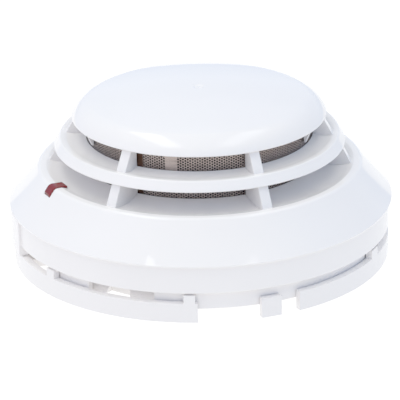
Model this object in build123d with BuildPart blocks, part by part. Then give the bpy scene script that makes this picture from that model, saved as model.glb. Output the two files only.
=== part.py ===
"""Ceiling fire detector: a twist-on head with two louvre tiers, on a slotted mounting base.

The mounting face is at z = 0 and the dome points along +Z (on a ceiling the whole unit hangs
upside down). The front is -Y. An azimuth is measured from the front towards +X.
"""

from build123d import *
import os
from math import cos, radians, sin, sqrt

os.makedirs("parts", exist_ok=True)

# ---------------------------------------------------------------- driving dimensions, mm
wall = 1.6                      # moulded wall thickness
running_gap = 0.3               # between the head and the base

# outer housing
rim_radius = 49.75
rim_height = 14.85
band_radius = 49.0
band_bottom = 7.75
skirt_radius = 46.9
skirt_bottom = 2.75
skirt_spans = [(-14.9, 281.5), (-51.1, -37.2)]  # azimuths, open between them
pad_span = (-100, -70.5)
pad_inner = skirt_radius + 0.4
pad_outer = rim_radius - 0.1
shoulder_radius = 41.75
shoulder_height = 24.8
flank_mid = (45.70, 19.79)      # the flank is slightly hollow
shoulder_fillet = 1.3
shelf_dip = (35.0, 23.95)       # lowest point of the dished shelf inside the shoulder
well_radius = 29.4
well_lip_height = 25.3
well_bottom = 16.4
shelf_underside = 22.4

# louvre ring
ring_low_radius = 37.8
ring_bottom = 29.85
ring_lip_radius = 35.8
ring_top = 32.45
ring_inner_radius = 29.4
ring_plate_underside = 30.6
ring_dip = (32.4, 32.0)         # lowest point of the dished top

# dome
dome_height = 44.65
crown_radius = 141.8
edge_radius = 7.5
edge_centre_radius = 26.05
dome_bottom = 37.4
dome_wall = 1.8

# ribs and gussets
rib_azimuths = [-35 + 60 * step for step in range(6)]
rib_thickness = 2.75
rib_inner_radius = 29.4
lower_rib_foot = 39.1           # radii of the ribs' sloping outer edges
lower_rib_top = 36.35
upper_rib_foot = 34.5
upper_rib_top = 31.6
gusset_azimuths = [-67, 65, 113, -115]
gusset_thickness = 0.9

# light pipe
pipe_azimuth = -64.2
pipe_width = 3.3
pipe_proud = 0.3
pipe_outer_end = 43.25
pipe_inner_end = 38.2
pipe_leg_radius = 39.6
pipe_leg_half = 1.1
pipe_leg_bottom = 19.6

# sensing parts
screen_radius = 29.25
screen_thickness = 0.3
screen_bottom = 22.0
screen_top = 38.4
chamber_radius = 28.0
chamber_base_bottom = 20.4
chamber_floor = 22.0
chamber_top = 37.0
board_bottom = 14.4
board_top = 16.0
board_radius = 41.5
rear_bottom = 8.1
rear_top = 9.7
rear_radius = 45.0
cover_screw_azimuths = [0, 120, 240]
cover_screw_radius = 38.6
chamber_screw_places = [(16.0, 16.0), (-16.0, -16.0)]

# bayonet
bayonet_azimuths = [60, 180, 300]
ledge_span = 12                 # degrees
lug_span = 11
ledge_bottom = 5.0
ledge_top = 6.4

# mounting base
hub_radius = 36.0
floor_thickness = 2.0
ring_height = 5.0
ring_outer = 48.9
ring_inner = skirt_radius + running_gap
post_height = 7.2
slot_pitch = 50.0
hole_pitch_y = 60.0
slot_length = 8.0
slot_width = 4.4
cable_hole_radius = 9.0

# terminals
terminal_azimuths = [45, 135, 225, 315]
terminal_pad_height = 3.6
strip_thickness = 0.8
clamp_thickness = 0.9
screw_radius_position = 19.0


# ---------------------------------------------------------------- helpers
def turned(azimuth):
    """Angle about +Z, counted from +X, of an azimuth counted from the front."""
    return azimuth - 90


def spot(radius, azimuth):
    """Plan position of a point at this radius and azimuth."""
    angle = radians(turned(azimuth))
    return (radius * cos(angle), radius * sin(angle))


def radial_plane(azimuth):
    """Plane through the axis: local x runs outwards at this azimuth and local y runs up."""
    angle = radians(turned(azimuth))
    outwards = (cos(angle), sin(angle), 0)
    sideways = (sin(angle), -cos(angle), 0)
    return Plane(origin=(0, 0, 0), x_dir=outwards, z_dir=sideways)


def sector(inner, outer, start, end, bottom, top):
    """Slab of an annulus between two azimuths and two heights."""
    first = turned(start)
    sweep_angle = end - start
    corner_a = (outer * cos(radians(first)), outer * sin(radians(first)))
    corner_b = (inner * cos(radians(first)), inner * sin(radians(first)))
    last = first + sweep_angle
    corner_c = (outer * cos(radians(last)), outer * sin(radians(last)))
    corner_d = (inner * cos(radians(last)), inner * sin(radians(last)))
    with BuildPart() as slab:
        with BuildSketch(Plane.XY.offset(bottom)):
            with BuildLine():
                CenterArc((0, 0), outer, first, sweep_angle)
                CenterArc((0, 0), inner, first, sweep_angle)
                Line(corner_a, corner_b)
                Line(corner_c, corner_d)
            make_face()
        extrude(amount=top - bottom)
    return slab.part


def radial_plate(points, azimuth, thickness):
    """Flat plate standing in the radial plane, from a closed outline of (radius, height)."""
    with BuildPart() as plate:
        with BuildSketch(radial_plane(azimuth)):
            with BuildLine():
                Polyline(points, close=True)
            make_face()
        extrude(amount=thickness / 2, both=True)
    return plate.part


def disc(radius, bottom, top, hole=0.0):
    """Round plate about the axis, with an optional central hole."""
    with BuildPart() as plate:
        with BuildSketch(Plane.XY.offset(bottom)):
            Circle(radius)
            if hole:
                Circle(hole, mode=Mode.SUBTRACT)
        extrude(amount=top - bottom)
    return plate.part


def pin(radius, bottom, top, place):
    """Upright cylinder at a plan position."""
    with BuildPart() as cylinder:
        with BuildSketch(Plane.XY.offset(bottom)):
            with Locations(place):
                Circle(radius)
        extrude(amount=top - bottom)
    return cylinder.part


def finish(piece, name):
    """Label a finished piece and write its STEP file."""
    piece.label = name
    export_step(piece, f"parts/{name}.step")


# ---------------------------------------------------------------- outer housing
shelf_start = (39.9, shoulder_height)
shelf_end = (well_radius, well_lip_height)

with BuildPart() as housing:
    with BuildSketch(Plane.XZ) as section:
        with BuildLine():
            Polyline(
                (skirt_radius - wall, band_bottom),
                (band_radius, band_bottom),
                (band_radius, rim_height - 0.25),
                (rim_radius, rim_height),
            )
            ThreePointArc((rim_radius, rim_height), flank_mid, (shoulder_radius, shoulder_height))
            Line((shoulder_radius, shoulder_height), shelf_start)
            ThreePointArc(shelf_start, shelf_dip, shelf_end)
            Polyline(
                shelf_end,
                (well_radius, well_bottom),
                (well_radius + wall, well_bottom),
                (well_radius + wall, shelf_underside),
                (41.1, shelf_underside),
                (47.2, 15.1),
                (band_radius - wall, 14.3),
                (band_radius - wall, band_bottom + wall),
                (skirt_radius - wall, band_bottom + wall),
                (skirt_radius - wall, band_bottom),
            )
        make_face()
        shoulder = section.vertices().sort_by_distance((shoulder_radius, 0, shoulder_height))[0]
        fillet(shoulder, shoulder_fillet)
        rim_corner = section.vertices().sort_by_distance((rim_radius, 0, rim_height))[0]
        fillet(rim_corner, 0.3)
    revolve(axis=Axis.Z)
    # skirt below the band, open where the wiring and the base arms pass
    for start, end in skirt_spans:
        add(sector(skirt_radius - wall, skirt_radius, start, end, skirt_bottom, band_bottom + 0.5))
    # alignment pad that stands proud of the band and reaches down to the base ring
    add(sector(pad_inner, pad_outer, *pad_span, ring_height + 0.25, rim_height - 0.2))
    # bosses for the cover screws
    for azimuth in cover_screw_azimuths:
        add(pin(2.8, 12.0, shelf_underside + 0.4, spot(cover_screw_radius, azimuth)))
        add(pin(1.2, 12.0, 21.0, spot(cover_screw_radius, azimuth)), mode=Mode.SUBTRACT)
    # holes for the louvre ring's pegs
    for azimuth in rib_azimuths[::2]:
        add(pin(1.1, 21.0, 26.0, spot(33.5, azimuth)), mode=Mode.SUBTRACT)
    # slot for the light pipe
    slot_outline = [
        (pipe_inner_end - 0.1, shelf_underside - 1.0),
        (pipe_outer_end + 0.1, shelf_underside - 3.5),
        (pipe_outer_end + 0.1, 30.0),
        (pipe_inner_end - 0.1, 30.0),
    ]
    add(radial_plate(slot_outline, pipe_azimuth, pipe_width + 0.2), mode=Mode.SUBTRACT)
finish(housing.part, "outer_housing")


# ---------------------------------------------------------------- louvre ring
with BuildPart() as shelf_mould:
    with BuildSketch(Plane.XZ):
        with BuildLine():
            ThreePointArc(shelf_start, shelf_dip, shelf_end)
            Polyline(
                shelf_end, (well_radius - 2, well_lip_height), (well_radius - 2, 20.0), (45.0, 20.0),
                (45.0, shoulder_height), shelf_start,
            )
        make_face()
    revolve(axis=Axis.Z)

lower_rib = [
    (rib_inner_radius, 23.0),
    (lower_rib_foot, 23.0),
    (lower_rib_foot, shoulder_height),
    (lower_rib_top, ring_bottom + 0.1),
    (lower_rib_top - 0.4, ring_plate_underside + 0.4),
    (rib_inner_radius, ring_plate_underside + 0.4),
]
lower_gusset = [
    (rib_inner_radius, ring_plate_underside + 0.4),
    (rib_inner_radius, ring_bottom - 3.8),
    (rib_inner_radius + 0.4, ring_bottom - 3.8),
    (rib_inner_radius + 2.2, ring_plate_underside + 0.4),
]

with BuildPart() as ring:
    with BuildSketch(Plane.XZ) as section:
        with BuildLine():
            Polyline(
                (ring_inner_radius, ring_top),
                (ring_inner_radius, ring_plate_underside),
                (ring_low_radius - 1.4, ring_plate_underside),
                (ring_low_radius - 0.9, ring_bottom),
                (ring_low_radius, ring_bottom),
                (ring_lip_radius + 0.3, ring_top),
                (ring_lip_radius - 0.7, ring_top),
            )
            ThreePointArc(
                (ring_lip_radius - 0.7, ring_top),
                ring_dip,
                (ring_inner_radius, ring_top),
            )
        make_face()
        lip = section.vertices().sort_by_distance((ring_lip_radius + 0.3, 0, ring_top))[0]
        fillet(lip, 0.55)
        low_edge = section.vertices().sort_by_distance((ring_low_radius, 0, ring_bottom))[0]
        fillet(low_edge, 0.25)
    revolve(axis=Axis.Z)
    for azimuth in rib_azimuths:
        add(radial_plate(lower_rib, azimuth, rib_thickness))
    for azimuth in gusset_azimuths:
        add(radial_plate(lower_gusset, azimuth, gusset_thickness))
    add(shelf_mould.part, mode=Mode.SUBTRACT)
    for azimuth in rib_azimuths[::2]:
        add(pin(1.0, 21.4, 25.5, spot(33.5, azimuth)))
finish(ring.part, "louvre_ring")


# ---------------------------------------------------------------- dome
crown_centre = dome_height - crown_radius
edge_centre_height = crown_centre + sqrt((crown_radius - edge_radius) ** 2 - edge_centre_radius**2)
slope = edge_centre_radius / (crown_radius - edge_radius)


def edge_point(height, offset):
    """Point of the dome's rounded edge at a height, moved inwards by an offset."""
    bow = edge_radius - offset
    return (edge_centre_radius + sqrt(bow**2 - (height - edge_centre_height) ** 2), height)


def dome_outline(offset):
    """End and middle points of the crown and the edge, moved inwards by the wall."""
    bow = crown_radius - offset
    turn = edge_radius - offset
    join = (bow * slope, crown_centre + bow * sqrt(1 - slope**2))
    middle = (bow * sin(radians(5.5)), crown_centre + bow * cos(radians(5.5)))
    tilt = radians(48)
    bend = (edge_centre_radius + turn * cos(tilt), edge_centre_height + turn * sin(tilt))
    return (0, dome_height - offset), middle, join, bend, edge_point(dome_bottom, offset)


with BuildPart() as dome:
    with BuildSketch(Plane.XZ) as section:
        apex, middle, join, bend, foot = dome_outline(0)
        inner_apex, inner_middle, inner_join, inner_bend, inner_foot = dome_outline(dome_wall)
        with BuildLine():
            ThreePointArc(apex, middle, join)
            ThreePointArc(join, bend, foot)
            Line(foot, inner_foot)
            ThreePointArc(inner_foot, inner_bend, inner_join)
            ThreePointArc(inner_join, inner_middle, inner_apex)
            Line(inner_apex, apex)
        make_face()
        foot_edge = section.vertices().sort_by_distance((foot[0], 0, foot[1]))[0]
        fillet(foot_edge, 0.35)
    revolve(axis=Axis.Z)
    # collar that holds the screen's top edge
    with BuildSketch(Plane.XY.offset(dome_bottom - 0.2)):
        Circle(screen_radius + 1.15)
        Circle(screen_radius + 0.15, mode=Mode.SUBTRACT)
    extrude(until=Until.NEXT)
    # inner collar that centres the chamber
    with BuildSketch(Plane.XY.offset(chamber_top + 0.3)):
        Circle(20.0)
        Circle(18.8, mode=Mode.SUBTRACT)
    extrude(until=Until.NEXT)
    upper_rib = [
        (rib_inner_radius, ring_top - 1.0),
        (upper_rib_foot, ring_top - 1.0),
        (upper_rib_foot, ring_top),
        (upper_rib_top, dome_bottom + 0.1),
        (upper_rib_top, dome_bottom + 1.2),
        (rib_inner_radius, dome_bottom + 1.2),
    ]
    upper_gusset = [
        (rib_inner_radius, dome_bottom + 0.5),
        (rib_inner_radius, ring_top + 1.0),
        (rib_inner_radius + 0.4, ring_top + 1.0),
        (foot[0] - 1.2, dome_bottom + 0.5),
    ]
    for azimuth in rib_azimuths:
        add(radial_plate(upper_rib, azimuth, rib_thickness))
    for azimuth in gusset_azimuths:
        add(radial_plate(upper_gusset, azimuth, gusset_thickness))
    with BuildSketch(Plane.XZ):
        with BuildLine():
            ThreePointArc(
                (ring_lip_radius - 0.7, ring_top),
                ring_dip,
                (ring_inner_radius, ring_top),
            )
            Polyline(
                (ring_inner_radius, ring_top), (27.0, ring_top), (27.0, 28.0), (40.0, 28.0),
                (40.0, ring_top), (ring_lip_radius - 0.7, ring_top),
            )
        make_face()
    revolve(axis=Axis.Z, mode=Mode.SUBTRACT)
    # gate mark in the middle of the crown
    with BuildSketch(Plane.XY.offset(dome_height - 0.12)):
        Circle(1.5)
        Circle(1.2, mode=Mode.SUBTRACT)
    extrude(amount=1.0, mode=Mode.SUBTRACT)
finish(dome.part, "dome_cap")


# ---------------------------------------------------------------- insect screen
screen = disc(screen_radius, screen_bottom, screen_top, hole=screen_radius - screen_thickness)
finish(screen, "insect_screen")


# ---------------------------------------------------------------- light pipe and its LED
flank_rise = (shoulder_height - flank_mid[1]) / (flank_mid[0] - shoulder_radius)
pipe_end_height = shoulder_height - (pipe_outer_end - shoulder_radius) * flank_rise
pipe_bend = (shoulder_radius + 0.15, shoulder_height + pipe_proud)

with BuildPart() as pipe:
    with BuildSketch(radial_plane(pipe_azimuth)) as section:
        with BuildLine():
            Polyline(
                (pipe_inner_end, shoulder_height + pipe_proud - 0.15),
                pipe_bend,
                (pipe_outer_end, pipe_end_height + pipe_proud + 0.1),
                (pipe_outer_end, pipe_end_height - 2.2),
                (pipe_leg_radius + pipe_leg_half, shelf_underside - 0.6),
                (pipe_leg_radius + pipe_leg_half, pipe_leg_bottom),
                (pipe_leg_radius - pipe_leg_half, pipe_leg_bottom),
                (pipe_leg_radius - pipe_leg_half, shelf_underside - 0.2),
                (pipe_inner_end, shelf_underside - 0.2),
                close=True,
            )
        make_face()
        bend_place = radial_plane(pipe_azimuth).from_local_coords((*pipe_bend, 0))
        bend = section.vertices().sort_by_distance(bend_place)[0]
        fillet(bend, shoulder_fillet + 0.3)
    extrude(amount=pipe_width / 2, both=True)
finish(pipe.part, "light_pipe")

with BuildPart() as status_led:
    with BuildSketch(Plane.XY.offset(board_top)):
        with Locations(spot(pipe_leg_radius, pipe_azimuth)):
            Circle(1.5)
    extrude(amount=3.0)
    fillet(status_led.faces().sort_by(Axis.Z)[-1].edges(), 0.9)
finish(status_led.part, "status_led")


# ---------------------------------------------------------------- rear cover
def bayonet_start(azimuth):
    """First azimuth of the base ledge that this lug engages."""
    return azimuth - ledge_span / 2


with BuildPart() as rear_cover:
    add(disc(rear_radius, rear_bottom, rear_top))
    add(disc(rear_radius, rear_top - 0.5, 12.6, hole=rear_radius - wall))
    for azimuth in bayonet_azimuths:
        start = bayonet_start(azimuth) + 0.5
        add(sector(38.4, 40.0, start, start + lug_span, 3.2, rear_bottom + 0.5))
        add(sector(hub_radius + 0.35, 38.8, start, start + lug_span, 3.2, ledge_bottom - running_gap))
    # guide walls inside the skirt, with a sloped lead-in beside the wiring window
    add(sector(43.0, 44.2, -24.1, -11.0, skirt_bottom + 0.15, rear_bottom + 0.5))
    add(sector(43.0, 44.2, -41.0, -29.5, skirt_bottom + 0.15, rear_bottom + 0.5))
    lead_in_x, lead_in_y = spot(46.0, -31)
    lead_in_plane = Plane(
        origin=(lead_in_x, lead_in_y, 0),
        x_dir=(-lead_in_y, lead_in_x, 0),
        z_dir=(lead_in_x, lead_in_y, 0),
    )
    with BuildSketch(lead_in_plane):
        with BuildLine():
            Polyline(
                (-2.0, skirt_bottom), (1.2, rear_bottom), (2.4, rear_bottom), (2.4, skirt_bottom),
                close=True,
            )
        make_face()
    extrude(amount=-4.0, mode=Mode.SUBTRACT)
    # bosses for the screws and stand-offs for the board
    for azimuth in cover_screw_azimuths:
        add(pin(3.6, rear_bottom, 11.7, spot(cover_screw_radius, azimuth)))
        add(pin(2.7, rear_bottom, 10.4, spot(cover_screw_radius, azimuth)), mode=Mode.SUBTRACT)
        add(pin(1.5, rear_bottom, 12.0, spot(cover_screw_radius, azimuth)), mode=Mode.SUBTRACT)
    for azimuth in [30, 150, 270]:
        add(pin(2.0, rear_bottom + 0.5, board_bottom, spot(30.0, azimuth)))
    # slots for the contact blades' stems
    for azimuth in terminal_azimuths:
        with Locations(Location((*spot(27.0, azimuth), 8.9), (0, 0, turned(azimuth)))):
            Box(0.9, 3.4, 4.0, mode=Mode.SUBTRACT)
    # clearance for the two chamber screws' heads
    for place in chamber_screw_places:
        add(pin(2.6, rear_bottom, 12.0, place), mode=Mode.SUBTRACT)
finish(rear_cover.part, "rear_cover")


# ---------------------------------------------------------------- contact blades of the head
for number, azimuth in enumerate(terminal_azimuths, start=1):
    blade_outline = [
        (23.6, 7.6), (24.6, 7.2), (29.0, 7.2), (30.0, 7.6), (30.0, 8.1), (27.25, 8.1),
        (27.25, board_top + 0.8), (26.75, board_top + 0.8), (26.75, 8.1), (23.6, 8.1),
    ]
    wide_outline = [(23.6, 7.6), (24.6, 7.2), (29.0, 7.2), (30.0, 7.6), (30.0, 8.05), (23.6, 8.05)]
    with BuildPart() as blade:
        add(radial_plate(blade_outline, azimuth, 3.0))
        add(radial_plate(wide_outline, azimuth, 6.0))
    finish(blade.part, f"contact_blade_{number}")


# ---------------------------------------------------------------- circuit board and its parts
with BuildPart() as board:
    add(disc(board_radius, board_bottom, board_top))
    for azimuth in cover_screw_azimuths:
        add(pin(3.3, board_bottom, board_top, spot(cover_screw_radius, azimuth)), mode=Mode.SUBTRACT)
    for azimuth in terminal_azimuths:
        with Locations(Location((*spot(27.0, azimuth), 15.2), (0, 0, turned(azimuth)))):
            Box(0.8, 3.3, 4.0, mode=Mode.SUBTRACT)
    for place in chamber_screw_places:
        add(pin(1.5, board_bottom, board_top, place), mode=Mode.SUBTRACT)
finish(board.part, "main_board")

with BuildPart() as controller:
    with Locations((-6.0, -9.0, board_top + 0.75)):
        Box(7.0, 7.0, 1.2)
    with Locations((-6.0, -9.0, board_top + 0.25)):
        with GridLocations(0.8, 0, 7, 1):
            Box(0.3, 9.0, 0.5)
        with GridLocations(0, 0.8, 1, 7):
            Box(9.0, 0.3, 0.5)
finish(controller.part, "microcontroller")

with BuildPart() as capacitor:
    with BuildSketch(Plane.YZ.offset(6.0)):
        with Locations((-12.0, 12.1)):
            Circle(2.2)
    extrude(amount=9.0)
    fillet(capacitor.faces().sort_by(Axis.X)[-1].edges(), 0.4)
    for side in (-1.0, 1.0):
        with Locations((5.5, -12.0 + side, 12.1)):
            Box(1.6, 0.5, 0.5)
        with Locations((4.95, -12.0 + side, 13.1)):
            Box(0.5, 0.5, 2.6)
finish(capacitor.part, "storage_capacitor")

with BuildPart() as shield:
    with Locations((9.0, -9.0, board_top + 1.8)):
        Box(11.0, 11.0, 3.6)
        Box(10.4, 10.4, 3.6, mode=Mode.SUBTRACT)
    with Locations((9.0, -9.0, board_top + 3.45)):
        Box(11.0, 11.0, 0.3)
finish(shield.part, "shield_can")


# ---------------------------------------------------------------- optical chamber
optics_height = 27.0
lead_top = optics_height + 0.25


def holder_plane(azimuth):
    """Plane facing the chamber's middle, with its origin on the optical axis' height."""
    inwards = (-cos(radians(turned(azimuth))), -sin(radians(turned(azimuth))), 0)
    x, y = spot(16.5, azimuth)
    return Plane(origin=(x, y, optics_height), z_dir=inwards, x_dir=(-inwards[1], inwards[0], 0))


emitter_azimuth = 200
receiver_azimuth = 75

with BuildPart() as chamber_base:
    add(disc(screen_radius, chamber_base_bottom, chamber_floor))
    for azimuth in [emitter_azimuth, receiver_azimuth]:
        with BuildSketch(holder_plane(azimuth)):
            Rectangle(8.0, 12.0)
        extrude(amount=8.0)
        with BuildSketch(holder_plane(azimuth).offset(-0.5)):
            Circle(2.7)
        extrude(amount=9.0, mode=Mode.SUBTRACT)
        # room for the two leads behind the holder
        with Locations(Location((*spot(18.0, azimuth), 20.0), (0, 0, turned(azimuth)))):
            Box(2.0, 4.0, 6.0, mode=Mode.SUBTRACT)
    # feet that stand on the board, two of them bored for the chamber screws
    for place in chamber_screw_places:
        add(pin(2.8, board_top, chamber_base_bottom + 0.5, place))
        add(pin(1.1, board_top, 21.0, place), mode=Mode.SUBTRACT)
    for azimuth in [120, 300]:
        add(pin(2.2, board_top, chamber_base_bottom + 0.5, spot(23.5, azimuth)))
    # passage for the thermistor's leads
    add(pin(1.3, chamber_base_bottom, chamber_floor, spot(27.3, 150)), mode=Mode.SUBTRACT)
finish(chamber_base.part, "chamber_base")

with BuildPart() as labyrinth:
    add(disc(chamber_radius, chamber_top - 1.4, chamber_top))
    with BuildSketch(Plane.XY.offset(chamber_floor + 0.02)):
        for step in range(18):
            angle = step * 20.0
            outer_place = Vector(24.0, 0).rotate(Axis.Z, angle)
            inner_place = Vector(20.4, 0).rotate(Axis.Z, angle - 4)
            with Locations(Location(outer_place, (0, 0, angle + 38))):
                Rectangle(5.0, 1.0)
            with Locations(Location(inner_place, (0, 0, angle - 30))):
                Rectangle(4.4, 1.0)
    extrude(amount=chamber_top - 1.0 - chamber_floor)
    for azimuth in [emitter_azimuth, receiver_azimuth]:
        with Locations(Location((*spot(17.5, azimuth), 27.5), (0, 0, turned(azimuth)))):
            Box(20.0, 9.0, 13.0, mode=Mode.SUBTRACT)
finish(labyrinth.part, "chamber_labyrinth")


def optical_part(azimuth):
    """Round-nosed 5 mm optical component with two bent leads down to the board."""
    axis_plane = holder_plane(azimuth)
    with BuildPart() as component:
        with BuildSketch(axis_plane.offset(0.3)):
            Circle(2.45)
        extrude(amount=6.6)
        nose = component.faces().sort_by_distance(axis_plane.offset(6.9).origin)[0]
        fillet(nose.edges(), 2.2)
        for side in (-1.27, 1.27):
            with BuildSketch(axis_plane.offset(-1.7)):
                with Locations((side, 0)):
                    Rectangle(0.5, 0.5)
            extrude(amount=2.3)
            bent = axis_plane.from_local_coords((side, 0, -1.45))
            middle_height = (lead_top + board_top) / 2
            with Locations(Location((bent.X, bent.Y, middle_height), (0, 0, turned(azimuth)))):
                Box(0.5, 0.5, lead_top - board_top)
    return component.part


finish(optical_part(emitter_azimuth), "infrared_emitter")
finish(optical_part(receiver_azimuth), "photodiode")

thermistor_x, thermistor_y = spot(27.3, 150)

with BuildPart() as thermistor:
    with BuildSketch(Plane.XY.offset(30.6)):
        with Locations((thermistor_x, thermistor_y)):
            Circle(1.1)
    extrude(amount=2.6)
    fillet(thermistor.faces().sort_by(Axis.Z)[-1].edges(), 0.9)
    fillet(thermistor.faces().sort_by(Axis.Z)[0].edges(), 0.3)
    with BuildSketch(Plane.XY.offset(board_top)):
        with Locations((thermistor_x - 0.5, thermistor_y), (thermistor_x + 0.5, thermistor_y)):
            Circle(0.22)
    extrude(amount=15.0)
finish(thermistor.part, "thermistor")


# ---------------------------------------------------------------- screws of the head
def pan_screw(head_radius, head_height, shank_radius, shank_length, place, height):
    """Screw driven upwards: its head's flat underside is at this height, shank above it."""
    with BuildPart() as screw:
        with BuildSketch(Plane.XY.offset(height - head_height)):
            with Locations(place):
                Circle(head_radius)
        extrude(amount=head_height)
        fillet(screw.faces().sort_by(Axis.Z)[0].edges(), head_height * 0.35)
        with BuildSketch(Plane.XY.offset(height)):
            with Locations(place):
                Circle(shank_radius)
        extrude(amount=shank_length)
        with BuildSketch(Plane.XY.offset(height - head_height)):
            with Locations(place):
                Rectangle(head_radius * 1.3, 0.7)
                Rectangle(0.7, head_radius * 1.3)
        extrude(amount=head_height * 0.55, mode=Mode.SUBTRACT)
    return screw.part


cover_screws = [
    pan_screw(2.4, 1.9, 1.15, 9.6, spot(cover_screw_radius, azimuth), 10.4)
    for azimuth in cover_screw_azimuths
]
finish(Compound(children=cover_screws), "cover_screws")

chamber_screws = [
    pan_screw(2.2, 1.6, 1.05, 6.2, place, board_bottom) for place in chamber_screw_places
]
finish(Compound(children=chamber_screws), "chamber_screws")


# ---------------------------------------------------------------- mounting base
segment_spans = [(29.5, 178.5), (209.5, 358.5)]
tab_spans = [(17.3, 23.5), (197.3, 203.5)]
post_spans = [(-53.4, -49.8), (-5.6, -2.2), (62.3, 66.8)]
arm_azimuths = [-45, -9, 50, 100]

with BuildPart() as base:
    # hub: floor, wall and cable collar
    add(disc(hub_radius, 0, floor_thickness))
    add(disc(hub_radius, floor_thickness - 0.5, ledge_top, hole=hub_radius - wall))
    add(disc(cable_hole_radius + 1.4, floor_thickness - 0.5, 3.4))
    with BuildSketch():
        Circle(cable_hole_radius)
    extrude(amount=6.0, mode=Mode.SUBTRACT)
    # mounting slots and holes
    with BuildSketch():
        with GridLocations(slot_pitch, 0, 2, 1):
            SlotOverall(slot_length, slot_width)
        with GridLocations(0, hole_pitch_y, 1, 2):
            Circle(slot_width / 2)
    extrude(amount=floor_thickness, mode=Mode.SUBTRACT)
    # ring segments, free-standing tabs and posts
    for start, end in segment_spans + tab_spans:
        add(sector(ring_inner, ring_outer, start, end, 0, ring_height))
    for half_turn in (0, 180):
        for start, end in post_spans:
            first = start + half_turn
            last = end + half_turn
            add(sector(ring_inner, ring_outer, first, last, ring_height - 0.5, post_height))
        # arms from the hub to the ring
        for azimuth in arm_azimuths:
            x, y = spot(41.3, azimuth + half_turn)
            with Locations(Location((x, y, 1.0), (0, 0, turned(azimuth + half_turn)))):
                Box(12.4, 7.0, floor_thickness)
        with Locations(Location((0, 0, 1.0), (0, 0, half_turn))):
            with Locations((16.8, -38.7, 0)):
                Box(4.0, 12.4, floor_thickness)
    # bayonet ledges and their stops
    for azimuth in bayonet_azimuths:
        start = bayonet_start(azimuth)
        add(sector(hub_radius - 0.5, 38.0, start, start + ledge_span, ledge_bottom, ledge_top))
        add(sector(hub_radius - 0.5, 38.0, start - 1.6, start, floor_thickness - 1.0, ledge_top))
    # pads under the terminals
    for azimuth in terminal_azimuths:
        with Locations(Location((*spot(21.5, azimuth), 2.5), (0, 0, turned(azimuth)))):
            Box(18.0, 9.0, 2.2)
        pilot_place = spot(screw_radius_position, azimuth)
        add(pin(1.9, 0.8, terminal_pad_height, pilot_place), mode=Mode.SUBTRACT)
finish(base.part, "mounting_base")


# ---------------------------------------------------------------- terminals of the base
strip_top = terminal_pad_height + strip_thickness
for number, azimuth in enumerate(terminal_azimuths, start=1):
    strip_outline = [
        (13.5, terminal_pad_height),
        (30.4, terminal_pad_height),
        (30.4, 5.4),
        (29.2, 6.5),
        (24.8, 6.85),
        (24.6, 6.25),
        (28.8, 5.9),
        (29.6, 5.1),
        (29.6, strip_top),
        (13.5, strip_top),
    ]
    with BuildPart() as contact:
        add(radial_plate(strip_outline, azimuth, 7.4))
        add(pin(1.8, 3.0, 5.0, spot(screw_radius_position, azimuth)), mode=Mode.SUBTRACT)
    finish(contact.part, f"base_contact_{number}")


def clamp_plate(azimuth):
    """Square wire clamp under a terminal screw."""
    with BuildPart() as plate:
        with BuildSketch(Plane.XY.offset(strip_top + 0.05)):
            with Locations(Location(spot(screw_radius_position, azimuth), turned(azimuth))):
                RectangleRounded(6.8, 6.8, 0.6)
            with Locations(spot(screw_radius_position, azimuth)):
                Circle(1.9, mode=Mode.SUBTRACT)
        extrude(amount=clamp_thickness)
    return plate.part


def terminal_screw(azimuth):
    """Slotted terminal screw, head up."""
    seat = strip_top + clamp_thickness + 0.1
    place = spot(screw_radius_position, azimuth)
    with BuildPart() as screw:
        with BuildSketch(Plane.XY.offset(seat)):
            with Locations(place):
                Circle(2.9)
        extrude(amount=1.7)
        fillet(screw.faces().sort_by(Axis.Z)[-1].edges(), 0.5)
        with BuildSketch(Plane.XY.offset(1.0)):
            with Locations(place):
                Circle(1.65)
        extrude(amount=seat - 1.0)
        with BuildSketch(Plane.XY.offset(seat + 0.9)):
            with Locations(Location(place, turned(azimuth))):
                Rectangle(6.0, 0.8)
        extrude(amount=1.0, mode=Mode.SUBTRACT)
    return screw.part


finish(Compound(children=[clamp_plate(azimuth) for azimuth in terminal_azimuths]), "clamp_plates")
finish(Compound(children=[terminal_screw(azimuth) for azimuth in terminal_azimuths]), "terminal_screws")
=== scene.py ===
"""Looks of the ceiling fire detector: moulded shells, perforated screen, light pipe and studio."""

from math import acos, atan2, cos, degrees, hypot, pi, radians, sin, sqrt, tan

import bpy
import bmesh
from mathutils import Matrix, Vector


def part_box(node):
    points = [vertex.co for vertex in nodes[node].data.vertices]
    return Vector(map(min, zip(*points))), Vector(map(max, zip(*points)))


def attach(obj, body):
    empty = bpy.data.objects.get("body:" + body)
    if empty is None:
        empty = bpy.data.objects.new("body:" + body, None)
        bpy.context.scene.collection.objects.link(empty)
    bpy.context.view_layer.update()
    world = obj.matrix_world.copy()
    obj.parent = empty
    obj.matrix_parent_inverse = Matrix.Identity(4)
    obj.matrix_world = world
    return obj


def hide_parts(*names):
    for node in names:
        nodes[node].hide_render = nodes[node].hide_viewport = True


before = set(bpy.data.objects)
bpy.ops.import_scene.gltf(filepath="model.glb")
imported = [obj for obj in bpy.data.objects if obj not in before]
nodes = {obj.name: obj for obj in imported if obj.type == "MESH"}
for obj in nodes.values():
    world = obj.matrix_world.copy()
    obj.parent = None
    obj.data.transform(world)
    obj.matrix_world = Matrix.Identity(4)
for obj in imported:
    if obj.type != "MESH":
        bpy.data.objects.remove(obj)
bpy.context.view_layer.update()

MM = 0.001

# ---------------------------------------------------------------- sizes in mm
# taken from the frame
rim_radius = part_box("outer_housing")[1].x / MM
skirt_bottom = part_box("outer_housing")[0].z / MM
dome_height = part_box("dome_cap")[1].z / MM
screen_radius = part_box("insect_screen")[1].x / MM
screen_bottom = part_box("insect_screen")[0].z / MM
screen_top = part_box("insect_screen")[1].z / MM

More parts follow.
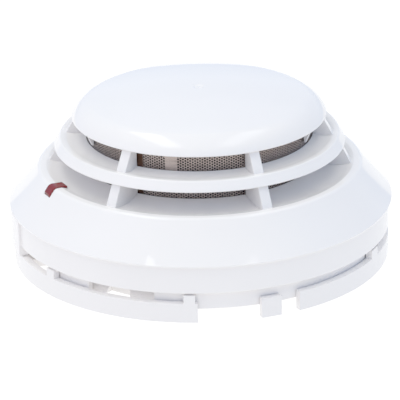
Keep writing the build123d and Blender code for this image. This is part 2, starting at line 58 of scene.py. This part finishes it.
# outer housing
band_radius = rim_radius - 0.75
band_bottom = 7.75
rim_height = 14.85
skirt_radius = 46.9
skirt_spans = [(-14.9, 281.5), (-51.1, -37.2)]  # azimuths, open between them
pad_start = -100
pad_sweep = 29.5
pad_bottom = 5.25
wall = 1.6
shoulder_fillet = 1.3
shoulder_radius = 41.75
shoulder_height = 24.8
flank_mid = (45.70, 19.79)
shelf_start = (39.9, shoulder_height)
shelf_dip = (35.0, 23.95)
shelf_end = (29.4, 25.3)
shelf_underside = 22.4
well_bottom = 16.4
cover_screw_azimuths = [0, 120, 240]
cover_screw_radius = 38.6
screw_boss_radius = 2.8
screw_boss_bottom = 12.0
pilot_radius = 1.2
inner_shoulder_radius = 41.1
inner_flank_foot = (47.2, 15.1)
inner_rim_height = 14.3

# louvre ring and dome
ring_bottom = 29.85
ring_low_radius = 37.8
ring_lip_radius = 35.8
ring_top = 32.45
ring_inner_radius = 29.4
ring_underside = 30.6
ring_dip = (32.4, 32.0)
dome_bottom = 37.4
dome_wall = 1.8
crown_radius = 141.8
edge_radius = 7.5
edge_centre_radius = 26.05
crown_steps = 24
edge_steps = 16
rib_azimuths = [-35 + 60 * step for step in range(6)]
rib_thickness = 2.75
rib_inner_radius = 29.4
lower_rib_bottom = 23.9
lower_rib_foot = 39.1
lower_rib_top = 36.35
upper_rib_foot = 34.5
upper_rib_top = 31.6
gusset_azimuths = [-67, 65, 113, -115]
gusset_thickness = 0.9
gusset_tip = 0.5
lower_gusset_height = 3.8
lower_gusset_reach = 2.2
screen_collar = (0.15, 1.15)                    # inner and outer wall, off the screen
screen_collar_top = 39.9
chamber_collar = (18.8, 20.0)                   # inner and outer radius
chamber_collar_bottom = 37.3
chamber_collar_top = 42.4

# light pipe
pipe_azimuth = -64.2
pipe_width = 3.3
pipe_outer_end = 43.25
pipe_inner_end = 38.2
pipe_leg_radius = 39.6
pipe_leg_half = 1.1
pipe_leg_bottom = 19.6
pipe_proud = 0.3


# ---------------------------------------------------------------- outlines
def arc(start, middle, end, steps=10):
    """Points of the circle through three points, from start to end, both included."""
    (ax, ay), (bx, by), (cx, cy) = start, middle, end
    a_square = ax**2 + ay**2
    b_square = bx**2 + by**2
    c_square = cx**2 + cy**2
    divisor = 2 * (ax * (by - cy) + bx * (cy - ay) + cx * (ay - by))
    centre_x = (a_square * (by - cy) + b_square * (cy - ay) + c_square * (ay - by)) / divisor
    centre_y = (a_square * (cx - bx) + b_square * (ax - cx) + c_square * (bx - ax)) / divisor
    radius = hypot(ax - centre_x, ay - centre_y)
    first = atan2(ay - centre_y, ax - centre_x)
    middle_turn = (atan2(by - centre_y, bx - centre_x) - first) % (2 * pi)
    last_turn = (atan2(cy - centre_y, cx - centre_x) - first) % (2 * pi)
    sweep = last_turn if middle_turn < last_turn else last_turn - 2 * pi
    points = []
    for step in range(steps + 1):
        turn = first + sweep * step / steps
        points.append((centre_x + radius * cos(turn), centre_y + radius * sin(turn)))
    return points


def rounded(corners, steps=5):
    """Closed outline from (x, y) or (x, y, radius) corners, with each given radius as an arc."""
    points = []
    count = len(corners)
    for index, corner in enumerate(corners):
        here = Vector(corner[:2])
        radius = corner[2] if len(corner) > 2 else 0
        if not radius:
            points.append(tuple(here))
            continue
        before = (Vector(corners[index - 1][:2]) - here).normalized()
        after = (Vector(corners[(index + 1) % count][:2]) - here).normalized()
        opening = acos(max(-1, min(1, before.dot(after))))
        reach = radius / tan(opening / 2)
        centre = here + (before + after).normalized() * (radius / sin(opening / 2))
        start = here + before * reach
        end = here + after * reach
        middle = centre + (here - centre).normalized() * radius
        points.extend(arc(tuple(start), tuple(middle), tuple(end), steps))
    return points


def section(inner, outer, bottom, top):
    """Rectangular section of a ring, from its radii and heights."""
    return [(inner, bottom), (outer, bottom), (outer, top), (inner, top)]


def spot(radius, azimuth, height=0.0):
    """Point at a radius and height, with the azimuth counted from the front towards +X."""
    return Vector((radius * sin(radians(azimuth)), -radius * cos(radians(azimuth)), height))


# ---------------------------------------------------------------- meshes
def new_piece(name, mesh_data):
    """Object from a bmesh built in millimetres."""
    bmesh.ops.scale(mesh_data, vec=(MM, MM, MM), verts=mesh_data.verts)
    bmesh.ops.recalc_face_normals(mesh_data, faces=mesh_data.faces)
    mesh = bpy.data.meshes.new(name)
    mesh_data.to_mesh(mesh)
    mesh_data.free()
    piece = bpy.data.objects.new(name, mesh)
    bpy.context.scene.collection.objects.link(piece)
    return piece


def lathe(name, outline, start=0.0, sweep=360.0, step=1.25):
    """Closed outline of (radius, height) swept about the axis between two azimuths."""
    full = sweep >= 360.0
    count = max(2, round(sweep / step))
    turns = count if full else count + 1
    shape = bmesh.new()
    loops = []
    for index in range(turns):
        azimuth = start + sweep * index / count
        loops.append([
            shape.verts.new(spot(radius, azimuth, height)) for radius, height in outline
        ])
    size = len(outline)
    for index in range(count):
        loop_a = loops[index]
        loop_b = loops[(index + 1) % turns]
        for edge in range(size):
            corner = (edge + 1) % size
            shape.faces.new((loop_a[edge], loop_b[edge], loop_b[corner], loop_a[corner]))
    if not full:
        shape.faces.new(loops[0])
        shape.faces.new(loops[-1])
    # points on the axis meet in one vertex
    bmesh.ops.remove_doubles(shape, verts=shape.verts, dist=1e-5)
    return new_piece(name, shape)


def plate(name, outline, azimuth, thickness, bevel=0.0):
    """Plate that stands in the radial plane, from a closed outline of (radius, height)."""
    shape = bmesh.new()
    out = spot(1, azimuth)
    side = Vector((-out.y, out.x, 0))
    rings = []
    for shift in (-thickness / 2, thickness / 2):
        ring = [
            shape.verts.new(out * radius + side * shift + Vector((0, 0, height)))
            for radius, height in outline
        ]
        rings.append(ring)
        shape.faces.new(ring)
    size = len(outline)
    for edge in range(size):
        corner = (edge + 1) % size
        shape.faces.new((rings[0][edge], rings[0][corner], rings[1][corner], rings[1][edge]))
    piece = new_piece(name, shape)
    if bevel:
        round_edges(piece, bevel)
    return piece


def prism(name, outline, bottom, top):
    """Upright prism over a closed plan outline."""
    shape = bmesh.new()
    low = [shape.verts.new((x, y, bottom)) for x, y in outline]
    high = [shape.verts.new((x, y, top)) for x, y in outline]
    shape.faces.new(low)
    shape.faces.new(high)
    size = len(outline)
    for edge in range(size):
        corner = (edge + 1) % size
        shape.faces.new((low[edge], low[corner], high[corner], high[edge]))
    return new_piece(name, shape)


def circle(radius, centre, steps=48):
    """Plan outline of a circle about a point."""
    return [
        (centre[0] + radius * cos(2 * pi * i / steps), centre[1] + radius * sin(2 * pi * i / steps))
        for i in range(steps)
    ]


def apply_modifiers(piece):
    """Turn the evaluated mesh of a piece into its own mesh."""
    graph = bpy.context.evaluated_depsgraph_get()
    mesh = bpy.data.meshes.new_from_object(piece.evaluated_get(graph))
    piece.modifiers.clear()
    piece.data = mesh


def add_bevel(piece, width, angle, segments):
    """Bevel modifier for every edge sharper than the angle."""
    bevel = piece.modifiers.new("round", "BEVEL")
    bevel.width = width * MM
    bevel.segments = segments
    bevel.limit_method = "ANGLE"
    bevel.angle_limit = radians(angle)
    bevel.use_clamp_overlap = True


def round_edges(piece, width, angle=40):
    """Small round on every edge sharper than the angle, built into the mesh."""
    add_bevel(piece, width, angle, 3)
    apply_modifiers(piece)


def combine(piece, others, operation="UNION"):
    """Join the other pieces to this one, or cut them from it, and remove them."""
    for other in others:
        boolean = piece.modifiers.new("combine", "BOOLEAN")
        boolean.operation = operation
        boolean.solver = "EXACT"
        boolean.object = other
        apply_modifiers(piece)
        bpy.data.objects.remove(other)


def smooth(piece, angle=32):
    """Smooth shading with sharp edges kept, and normals weighted by face area."""
    piece.data.polygons.foreach_set("use_smooth", [True] * len(piece.data.polygons))
    piece.data.set_sharp_from_angle(angle=radians(angle))
    weighted = piece.modifiers.new("weighted", "WEIGHTED_NORMAL")
    weighted.keep_sharp = True


# ---------------------------------------------------------------- materials
def material(name):
    """New node material and its principled shader."""
    made = bpy.data.materials.new(name)
    made.use_nodes = True
    return made, made.node_tree, made.node_tree.nodes["Principled BSDF"]


def noise(tree, scale, detail=3.0, stretch=(1, 1, 1)):
    """Noise of the object's own coordinates."""
    place = tree.nodes.new("ShaderNodeTexCoord")
    mapping = tree.nodes.new("ShaderNodeMapping")
    mapping.inputs["Scale"].default_value = stretch
    texture = tree.nodes.new("ShaderNodeTexNoise")
    texture.inputs["Scale"].default_value = scale
    texture.inputs["Detail"].default_value = detail
    tree.links.new(place.outputs["Object"], mapping.inputs["Vector"])
    tree.links.new(mapping.outputs["Vector"], texture.inputs["Vector"])
    return texture.outputs["Fac"]


def vary_colour(tree, shader, factor, low, high):
    """Base colour that runs between two colours with a factor."""
    ramp = tree.nodes.new("ShaderNodeValToRGB")
    ramp.color_ramp.elements[0].position = 0.3
    ramp.color_ramp.elements[0].color = (*low, 1)
    ramp.color_ramp.elements[1].position = 0.7
    ramp.color_ramp.elements[1].color = (*high, 1)
    tree.links.new(factor, ramp.inputs["Fac"])
    tree.links.new(ramp.outputs["Color"], shader.inputs["Base Color"])


def vary_roughness(tree, shader, factor, low, high):
    """Roughness that runs between two values with a factor."""
    spread = tree.nodes.new("ShaderNodeMapRange")
    spread.inputs["From Min"].default_value = 0.3
    spread.inputs["From Max"].default_value = 0.7
    spread.inputs["To Min"].default_value = low
    spread.inputs["To Max"].default_value = high
    tree.links.new(factor, spread.inputs["Value"])
    tree.links.new(spread.outputs["Result"], shader.inputs["Roughness"])


def add_bump(tree, shader, height, strength, distance):
    """Fine relief from a height factor."""
    bump = tree.nodes.new("ShaderNodeBump")
    bump.inputs["Strength"].default_value = strength
    bump.inputs["Distance"].default_value = distance
    tree.links.new(height, bump.inputs["Height"])
    tree.links.new(bump.outputs["Normal"], shader.inputs["Normal"])


def set_specular(made, level):
    """Strength of the surface gloss, 0.5 being the plain glossy plastic."""
    shader = made.node_tree.nodes["Principled BSDF"]
    shader.inputs["Specular IOR Level"].default_value = level


def moulded_plastic(name, low, high, rough, bump_strength=0.04):
    """Glossy moulded plastic: faint flow clouding and a fine orange-peel."""
    made, tree, shader = material(name)
    clouding = noise(tree, 40, 4)
    vary_colour(tree, shader, clouding, low, high)
    gloss_spots = noise(tree, 260, 5)
    vary_roughness(tree, shader, gloss_spots, *rough)
    orange_peel = noise(tree, 700, 2)
    add_bump(tree, shader, orange_peel, bump_strength, 0.0001)
    shader.inputs["IOR"].default_value = 1.52
    return made


def metal(name, low, high, rough, stretch=(1, 1, 1)):
    """Rolled metal, with streaks where the noise is stretched."""
    scale = 900
    made, tree, shader = material(name)
    shader.inputs["Metallic"].default_value = 1.0
    broad_streaks = noise(tree, scale * 0.3, 4, stretch)
    vary_colour(tree, shader, broad_streaks, low, high)
    fine_streaks = noise(tree, scale, 4, stretch)
    vary_roughness(tree, shader, fine_streaks, *rough)
    grain = noise(tree, scale, 3, stretch)
    add_bump(tree, shader, grain, 0.08, 0.00005)
    return made


def clear_resin(name, low, high, rough, transmission):
    """Tinted clear plastic."""
    made, tree, shader = material(name)
    tint = noise(tree, 120, 2)
    vary_colour(tree, shader, tint, low, high)
    gloss_spots = noise(tree, 500, 3)
    vary_roughness(tree, shader, gloss_spots, *rough)
    shader.inputs["Transmission Weight"].default_value = transmission
    shader.inputs["IOR"].default_value = 1.49
    return made


white = moulded_plastic(
    "white_housing", (0.92, 0.895, 0.885), (0.94, 0.915, 0.905), (0.02, 0.04), 0.02
)
white_satin = moulded_plastic("white_base", (0.91, 0.885, 0.875), (0.93, 0.905, 0.895), (0.16, 0.24))
steel = metal("screen_steel", (0.28, 0.225, 0.205), (0.40, 0.33, 0.30), (0.2, 0.3), (1, 1, 6))
# dark brown steel of the seam margin: painted shade of the rib beside it
painted_shade_seam_metal = metal("seam_margin_painted_shade", (0.05, 0.024, 0.015), (0.09, 0.045, 0.03), (0.35, 0.5), (1, 1, 6))
red_clear = clear_resin("red_lens", (0.14, 0.002, 0.004), (0.22, 0.004, 0.006), (0.04, 0.08), 0.15)
set_specular(red_clear, 0.2)
red_lamp = clear_resin("red_lamp", (0.5, 0.03, 0.02), (0.6, 0.05, 0.03), (0.25, 0.4), 0.2)
blue_clear = clear_resin("tinted_lens", (0.10, 0.13, 0.32), (0.14, 0.17, 0.4), (0.05, 0.12), 0.6)
dark_clear = clear_resin("dark_lens", (0.02, 0.012, 0.03), (0.035, 0.02, 0.045), (0.05, 0.12), 0.2)
bead_glass = clear_resin("bead_glass", (0.4, 0.2, 0.08), (0.5, 0.28, 0.12), (0.08, 0.15), 0.3)
black_matt = moulded_plastic(
    "chamber_black", (0.004, 0.004, 0.0045), (0.007, 0.007, 0.008), (0.6, 0.8), 0.2
)
set_specular(black_matt, 0.08)
chip_black = moulded_plastic(
    "chip_black", (0.014, 0.014, 0.015), (0.025, 0.025, 0.027), (0.4, 0.55), 0.15
)
sleeve = moulded_plastic("capacitor_sleeve", (0.012, 0.018, 0.06), (0.02, 0.028, 0.08), (0.2, 0.3))
zinc = metal("zinc_steel", (0.55, 0.56, 0.58), (0.66, 0.67, 0.69), (0.18, 0.32))
nickel = metal("nickel_strip", (0.58, 0.55, 0.49), (0.68, 0.65, 0.58), (0.16, 0.28), (6, 1, 1))
tin = metal("tin_plate", (0.6, 0.6, 0.58), (0.7, 0.7, 0.68), (0.12, 0.24))


def board_material():
    """Green solder mask over faint copper tracks."""
    made, tree, shader = material("board_green")
    place = tree.nodes.new("ShaderNodeTexCoord")
    tracks = tree.nodes.new("ShaderNodeTexBrick")
    tracks.inputs["Scale"].default_value = 260
    tracks.inputs["Mortar Size"].default_value = 0.03
    tracks.inputs["Color1"].default_value = (0.012, 0.11, 0.035, 1)
    tracks.inputs["Color2"].default_value = (0.016, 0.13, 0.04, 1)
    tracks.inputs["Mortar"].default_value = (0.03, 0.2, 0.07, 1)
    tree.links.new(place.outputs["Object"], tracks.inputs["Vector"])
    tree.links.new(tracks.outputs["Color"], shader.inputs["Base Color"])
    vary_roughness(tree, shader, noise(tree, 400, 3), 0.25, 0.4)
    add_bump(tree, shader, tracks.outputs["Fac"], 0.1, 0.00005)
    return made


board_green = board_material()


def dress(piece, surface, body, replaced=()):
    """Give a piece its material, its body and the CAD nodes it stands for."""
    piece.data.materials.clear()
    piece.data.materials.append(surface)
    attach(piece, body)
    if replaced:
        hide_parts(*replaced)


# ---------------------------------------------------------------- outer housing
def make_housing():
    """Band, flared rim, flank, shoulder, dished shelf and chamber well, with the skirt below."""
    flank = arc((rim_radius, rim_height + 0.35), flank_mid, (shoulder_radius, shoulder_height), 8)
    shelf = arc(shelf_start, shelf_dip, shelf_end, 18)
    corners = [
        (skirt_radius - wall, band_bottom),
        (band_radius, band_bottom, 0.25),
        (band_radius, rim_height - 0.15),
        (rim_radius - 0.12, rim_height - 0.12, 0.05),
        (rim_radius, rim_height + 0.35),
    ]
    corners += flank[1:-1]
    corners += [(shoulder_radius, shoulder_height, shoulder_fillet), (*shelf_start, 0.9)]
    corners += shelf[2:-1]
    corners += [
        (*shelf_end, 0.15),
        (shelf_end[0], well_bottom),
        (shelf_end[0] + wall, well_bottom),
        (shelf_end[0] + wall, shelf_underside, 0.5),
        (inner_shoulder_radius, shelf_underside, 0.5),
        inner_flank_foot,
        (band_radius - wall, inner_rim_height),
        (band_radius - wall, band_bottom + wall),
        (skirt_radius - wall, band_bottom + wall),
    ]
    piece = lathe("housing_shell", rounded(corners, 6))
    skirt = rounded([
        (skirt_radius - wall, skirt_bottom, 0.3),
        (skirt_radius, skirt_bottom, 0.3),
        (skirt_radius, band_bottom + 0.6),
        (skirt_radius - wall, band_bottom + 0.6),
    ], 3)
    extras = []
    for start, end in skirt_spans:
        extras.append(lathe("skirt", skirt, start, end - start))
        round_edges(extras[-1], 0.2, 60)
    pad = rounded([
        (skirt_radius + 0.4, pad_bottom, 0.2),
        (rim_radius - 0.1, pad_bottom, 0.3),
        (rim_radius - 0.1, rim_height - 0.25, 0.1),
        (skirt_radius + 0.4, rim_height - 0.25),
    ], 3)
    extras.append(lathe("alignment_pad", pad, pad_start, pad_sweep))
    round_edges(extras[-1], 0.12, 60)
    for azimuth in cover_screw_azimuths:
        centre = spot(cover_screw_radius, azimuth)
        boss = circle(screw_boss_radius, centre[:2])
        extras.append(prism("screw_boss", boss, screw_boss_bottom, shelf_underside + 0.5))
    combine(piece, extras)
    slot_top = shoulder_height + 5.2
    slot_outline = [
        (pipe_inner_end - 0.1, shelf_underside - 1.0),
        (pipe_outer_end + 0.1, shelf_underside - 3.5),
        (pipe_outer_end + 0.1, slot_top),
        (pipe_inner_end - 0.1, slot_top),
    ]
    cuts = [plate("pipe_slot", slot_outline, pipe_azimuth, pipe_width + 0.16)]
    for azimuth in cover_screw_azimuths:
        centre = spot(cover_screw_radius, azimuth)
        pilot = circle(pilot_radius, centre[:2])
        cuts.append(prism("pilot_hole", pilot, screw_boss_bottom - 1.0, shelf_underside - 1.4))
    combine(piece, cuts, "DIFFERENCE")
    smooth(piece)
    dress(piece, white, "head", ["outer_housing"])


# ---------------------------------------------------------------- louvre ring
def dished_top(steps=12):
    """Ring's dished top, from the lip to the screen."""
    start = (ring_lip_radius - 0.7, ring_top)
    end = (ring_inner_radius, ring_top)
    return arc(start, ring_dip, end, steps)


def add_ribs(piece, rib_outline, gusset_outline):
    """Six ribs and four gussets round the axis."""
    extras = [
        plate("rib", rib_outline, azimuth, rib_thickness, 0.18) for azimuth in rib_azimuths
    ]
    extras += [
        plate("gusset", gusset_outline, azimuth, gusset_thickness, 0.12) for azimuth in gusset_azimuths
    ]
    combine(piece, extras)


def make_ring():
    """Ring with a conical rim and a dished top, on six ribs."""
    top = dished_top()
    corners = [
        (ring_inner_radius, ring_underside, 0.15),
        (ring_low_radius - 1.4, ring_underside),
        (ring_low_radius - 0.9, ring_bottom),
        (ring_low_radius, ring_bottom, 0.22),
        (ring_lip_radius + 0.3, ring_top, 0.5),
    ]
    corners += top[1:]
    piece = lathe("louvre_ring_shell", rounded(corners, 5))
    rib = [
        (rib_inner_radius, lower_rib_bottom),
        (lower_rib_foot + 0.25, lower_rib_bottom),
        (lower_rib_foot, shoulder_height - 0.1),
        (lower_rib_top, ring_bottom + 0.2),
        (lower_rib_top - 0.4, ring_underside + 0.5),
        (rib_inner_radius, ring_underside + 0.5),
    ]
    gusset = [
        (rib_inner_radius, ring_underside + 0.5),
        (rib_inner_radius, ring_bottom - lower_gusset_height),
        (rib_inner_radius + gusset_tip, ring_bottom - lower_gusset_height),
        (rib_inner_radius + lower_gusset_reach, ring_underside + 0.5),
    ]
    add_ribs(piece, rib, gusset)
    smooth(piece)
    dress(piece, white, "head", ["louvre_ring"])


# ---------------------------------------------------------------- dome
def dome_curve(offset):
    """Crown and rounded edge, from the axis to the foot, moved inwards by an offset."""
    crown_centre = dome_height - crown_radius
    rise = sqrt((crown_radius - edge_radius) ** 2 - edge_centre_radius**2)
    edge_height = crown_centre + rise
    join_angle = atan2(edge_centre_radius, rise)
    crown = crown_radius - offset
    edge = edge_radius - offset
    points = []
    for index in range(crown_steps + 1):
        tilt = join_angle * index / crown_steps
        points.append((crown * sin(tilt), crown_centre + crown * cos(tilt)))
    foot_angle = atan2(dome_bottom - edge_height, sqrt(edge**2 - (dome_bottom - edge_height) ** 2))
    start_angle = pi / 2 - join_angle
    for index in range(1, edge_steps + 1):
        tilt = start_angle + (foot_angle - start_angle) * index / edge_steps
        points.append((edge_centre_radius + edge * cos(tilt), edge_height + edge * sin(tilt)))
    return points


def make_dome():
    """Domed cap with a gate mark, a collar round the screen and one inside, ribs and gussets."""
    outer = dome_curve(0)
    inner = dome_curve(dome_wall)
    gate = [(0, dome_height - 0.16), (0.35, dome_height - 0.13), (0.5, dome_height - 0.28)]
    gate += [(0.95, dome_height - 0.24), (1.3, dome_height - 0.06), (1.75, dome_height - 0.02)]
    corners = gate + [point for point in outer[1:-1] if point[0] > 2.2]
    corners += [(outer[-1][0], outer[-1][1], 0.28), (inner[-1][0], inner[-1][1], 0.1)]
    corners += list(reversed(inner[:-1]))
    piece = lathe("dome_shell", rounded(corners, 5))
    collar_inner = screen_radius + screen_collar[0]
    collar_outer = screen_radius + screen_collar[1]
    collar = section(collar_inner, collar_outer, dome_bottom - 0.2, screen_collar_top)
    inner_collar = section(*chamber_collar, chamber_collar_bottom, chamber_collar_top)
    combine(piece, [lathe("collar", collar), lathe("inner_collar", inner_collar)])
    foot = outer[-1][0]
    rib = [
        (rib_inner_radius, ring_top - 0.6),
        (upper_rib_foot, ring_top - 0.6),
        (upper_rib_foot, ring_top - 0.1),
        (upper_rib_top, dome_bottom + 0.15),
        (upper_rib_top, dome_bottom + 1.2),
        (rib_inner_radius, dome_bottom + 1.2),
    ]
    gusset = [
        (rib_inner_radius, dome_bottom + 0.6),
        (rib_inner_radius, ring_top + 1.0),
        (rib_inner_radius + gusset_tip, ring_top + 1.0),
        (foot - 1.2, dome_bottom + 0.6),
    ]
    add_ribs(piece, rib, gusset)
    smooth(piece)
    dress(piece, white, "head", ["dome_cap"])


# ---------------------------------------------------------------- insect screen
hole_pitch = 0.7
hole_radius = 0.295
foil_thickness = 0.12
foil_rise = 1.6                                 # from the CAD ring's bottom to the foil
foil_drop = 0.7                                 # from the CAD ring's top to the foil, at least
seam_span = (-34.0, -29.5)                      # azimuths of the plain seam margin, painted dark brown as the rib's shade
lap_span = (-17.0, -11.5)                       # azimuths of the plain lap strip


def make_screen():
    """Etched foil rolled into a band: staggered holes, none at the seam margin or the lap; the seam
    margin's dark steel is painted shade of the rib.
    """
    radius = screen_radius - foil_thickness
    columns = 2 * round(2 * pi * radius / (hole_pitch * sqrt(3) / 2) / 2)
    column_angle = 360.0 / columns
    low_edge = screen_bottom + foil_rise
    rows = int((screen_top - foil_drop - low_edge) / hole_pitch)
    shape = bmesh.new()
    corner_verts = {}

    def corner(azimuth_key, height_key):
        """Shared vertex of neighbouring cells, by its lattice place."""
        key = (azimuth_key % (columns * 3), height_key)
        if key not in corner_verts:
            azimuth = azimuth_key * column_angle / 3
            height = low_edge + height_key * hole_pitch / 2
            corner_verts[key] = shape.verts.new(spot(radius, azimuth, height))
        return corner_verts[key]

    for column in range(columns):
        azimuth = column * column_angle
        signed = (azimuth + 180) % 360 - 180
        seam = seam_span[0] < signed < seam_span[1]
        for row in range(rows):
            middle = 2 * row + 1 + column % 2
            ring = [
                corner(column * 3 + 2, middle),
                corner(column * 3 + 1, middle + 1),
                corner(column * 3 - 1, middle + 1),
                corner(column * 3 - 2, middle),
                corner(column * 3 - 1, middle - 1),
                corner(column * 3 + 1, middle - 1),
            ]
            height = low_edge + middle * hole_pitch / 2
            lap = lap_span[0] < signed < lap_span[1] and height > ring_bottom + 1.0
            if seam or lap:
                shape.faces.new(ring)
                continue
            hole = []
            for point in range(6):
                turn = radians(60 * point)
                shift = degrees(hole_radius * cos(turn) / radius)
                rise = hole_radius * sin(turn)
                hole.append(shape.verts.new(spot(radius, azimuth + shift, height + rise)))
            for point in range(6):
                after = (point + 1) % 6
                shape.faces.new((ring[point], ring[after], hole[after], hole[point]))
    piece = new_piece("insect_screen_foil", shape)
    thick = piece.modifiers.new("foil", "SOLIDIFY")
    thick.thickness = foil_thickness * MM
    thick.offset = 1.0
    apply_modifiers(piece)
    dress(piece, steel, "head", ["insect_screen"])
    # the seam margin's faces get the dark steel: painted shade of the rib
    piece.data.materials.append(painted_shade_seam_metal)
    for polygon in piece.data.polygons:
        place = polygon.center
        azimuth = degrees(atan2(place.x, -place.y))
        if seam_span[0] < azimuth < seam_span[1]:
            polygon.material_index = 1


# ---------------------------------------------------------------- light pipe
def make_pipe():
    """Red strip that bends over the shoulder, with its leg down to the LED."""
    fall = (shoulder_height - flank_mid[1]) / (flank_mid[0] - shoulder_radius)
    end_height = shoulder_height - (pipe_outer_end - shoulder_radius) * fall
    outline = rounded([
        (pipe_inner_end, shoulder_height + pipe_proud - 0.15, 0.3),
        (shoulder_radius + 0.15, shoulder_height + pipe_proud, 1.6),
        (pipe_outer_end, end_height + pipe_proud + 0.1, 0.3),
        (pipe_outer_end, end_height - 2.2),
        (pipe_leg_radius + pipe_leg_half, shelf_underside - 0.6),
        (pipe_leg_radius + pipe_leg_half, pipe_leg_bottom),
        (pipe_leg_radius - pipe_leg_half, pipe_leg_bottom),
        (pipe_leg_radius - pipe_leg_half, shelf_underside - 0.2),
        (pipe_inner_end, shelf_underside - 0.2),
    ], 8)
    piece = plate("light_pipe_strip", outline, pipe_azimuth, pipe_width)
    round_edges(piece, 0.22, 50)
    smooth(piece)
    dress(piece, red_clear, "head", ["light_pipe"])


# ---------------------------------------------------------------- carried-over CAD nodes
def dress_nodes():
    """Materials of the CAD nodes that stay."""
    surfaces = {
        "rear_cover": white_satin, "mounting_base": white_satin,
        "main_board": board_green, "microcontroller": chip_black, "storage_capacitor": sleeve,
        "shield_can": tin, "chamber_base": black_matt, "chamber_labyrinth": black_matt,
        "infrared_emitter": blue_clear, "photodiode": dark_clear, "thermistor": bead_glass,
        "status_led": red_lamp, "cover_screws": zinc, "chamber_screws": zinc,
        "clamp_plates": zinc, "terminal_screws": zinc,
    }
    for number in (1, 2, 3, 4):
        surfaces[f"contact_blade_{number}"] = nickel
        surfaces[f"base_contact_{number}"] = nickel
    for name, surface in surfaces.items():
        node = nodes[name]
        node.data.materials.clear()
        node.data.materials.append(surface)
    # small rounds on the base's moulded edges
    add_bevel(nodes["mounting_base"], 0.18, 50, 2)


# ---------------------------------------------------------------- studio
camera_elevation = 21.53                        # degrees
camera_roll = -1.15                             # degrees
camera_lens = 241.3
camera_distance = 0.7                           # m
camera_aim = (-0.2, 0, 14.95)                   # mm
camera_drop = 1.63                              # mm
softbox_size = (0.27, 1.1)                      # m
softbox_place = (0.365, 0.02, 1.04)             # m, mirrored for the left one
left_power = 2.4                                # W
right_power = 1.35                              # W
floor_radius = 3000                             # mm
floor_drop = 0.0002                             # m
view_gamma = 1.35


def make_camera():
    """Long lens at the front, 21.5 degrees above the floor, with a slight roll."""
    elevation = radians(camera_elevation)
    back = Vector((0, -cos(elevation), sin(elevation)))
    up = Vector((0, sin(elevation), cos(elevation)))
    aim = Vector(camera_aim) * MM - up * camera_drop * MM
    data = bpy.data.cameras.new("camera")
    data.lens = camera_lens
    data.sensor_width = 36
    camera = bpy.data.objects.new("camera", data)
    bpy.context.scene.collection.objects.link(camera)
    turn = back.to_track_quat("Z", "Y").to_matrix().to_4x4()
    roll = Matrix.Rotation(radians(camera_roll), 4, "Z")
    camera.matrix_world = Matrix.Translation(aim + back * camera_distance) @ turn @ roll
    bpy.context.scene.camera = camera


def make_floor():
    """Pale floor under the base."""
    shape = bmesh.new()
    bmesh.ops.create_circle(shape, cap_ends=True, segments=96, radius=floor_radius)
    floor = new_piece("floor", shape)
    floor.location.z = -floor_drop
    made, tree, shader = material("floor_white")
    vary_colour(tree, shader, noise(tree, 6, 2), (0.1, 0.1, 0.1), (0.12, 0.12, 0.12))
    shader.inputs["Roughness"].default_value = 1.0
    shader.inputs["Specular IOR Level"].default_value = 0.0
    shader.inputs["Emission Color"].default_value = (1, 1, 1, 1)
    shader.inputs["Emission Strength"].default_value = 1.0
    floor.data.materials.append(made)


def make_softbox(name, side, power):
    """Overhead strip light that runs front to back, at the left (-1) or right (1)."""
    data = bpy.data.lights.new(name, "AREA")
    data.shape = "RECTANGLE"
    data.size = softbox_size[0]
    data.size_y = softbox_size[1]
    data.energy = power
    lamp = bpy.data.objects.new(name, data)
    lamp.location = (side * softbox_place[0], softbox_place[1], softbox_place[2])
    bpy.context.scene.collection.objects.link(lamp)


def smooth_step(tree, value, low, high):
    """Smooth change from 0 at low to 1 at high."""
    step = tree.nodes.new("ShaderNodeMapRange")
    step.interpolation_type = "SMOOTHSTEP"
    step.inputs["From Min"].default_value = low
    step.inputs["From Max"].default_value = high
    tree.links.new(value, step.inputs["Value"])
    return step.outputs["Result"]


def blend(tree, share, first, second):
    """Mix of two colours, each a plain colour or the output of another mix."""
    mix = tree.nodes.new("ShaderNodeMix")
    mix.data_type = "RGBA"
    tree.links.new(share, mix.inputs["Factor"])
    for socket, colour in ((mix.inputs[6], first), (mix.inputs[7], second)):
        if isinstance(colour, tuple):
            socket.default_value = (*colour, 1)
        else:
            tree.links.new(colour, socket)
    return mix.outputs[2]


def make_world():
    """Tent of light: bright overhead and at the left, cool at the right, dark low in front."""
    world = bpy.data.worlds.new("surround")
    world.use_nodes = True
    tree = world.node_tree
    place = tree.nodes.new("ShaderNodeTexCoord")
    split = tree.nodes.new("ShaderNodeSeparateXYZ")
    tree.links.new(place.outputs["Generated"], split.inputs["Vector"])
    to_right = smooth_step(tree, split.outputs["X"], -0.5, 0.5)
    to_back = smooth_step(tree, split.outputs["Y"], -0.4, 0.4)
    above_low = smooth_step(tree, split.outputs["Z"], 0.2, 0.4)
    above_middle = smooth_step(tree, split.outputs["Z"], 0.6, 0.85)
    low = blend(tree, to_back, (0.0, 0.0, 0.05), (0.55, 0.65, 0.85))
    middle_left = blend(tree, to_back, (1.0, 1.05, 1.25), (0.45, 0.55, 0.7))
    middle_right = blend(tree, to_back, (0.4, 0.6, 0.9), (0.3, 0.4, 0.65))
    middle = blend(tree, to_right, middle_left, middle_right)
    top_left = blend(tree, to_back, (1.3, 1.3, 1.2), (0.85, 0.85, 0.8))
    top_right = blend(tree, to_back, (1.05, 1.05, 1.0), (0.7, 0.7, 0.65))
    top = blend(tree, to_right, top_left, top_right)
    sides = blend(tree, above_low, low, middle)
    everything = blend(tree, above_middle, sides, top)
    tree.links.new(everything, tree.nodes["Background"].inputs["Color"])
    bpy.context.scene.world = world


def make_studio():
    """Tent of light, white floor and two overhead strips."""
    make_world()
    view = bpy.context.scene.view_settings
    view.view_transform = "Standard"
    view.gamma = view_gamma
    make_softbox("softbox_left", -1, left_power)
    make_softbox("softbox_right", 1, right_power)
    make_floor()


make_camera()
make_studio()
make_housing()
make_ring()
make_dome()
make_screen()
make_pipe()
dress_nodes()
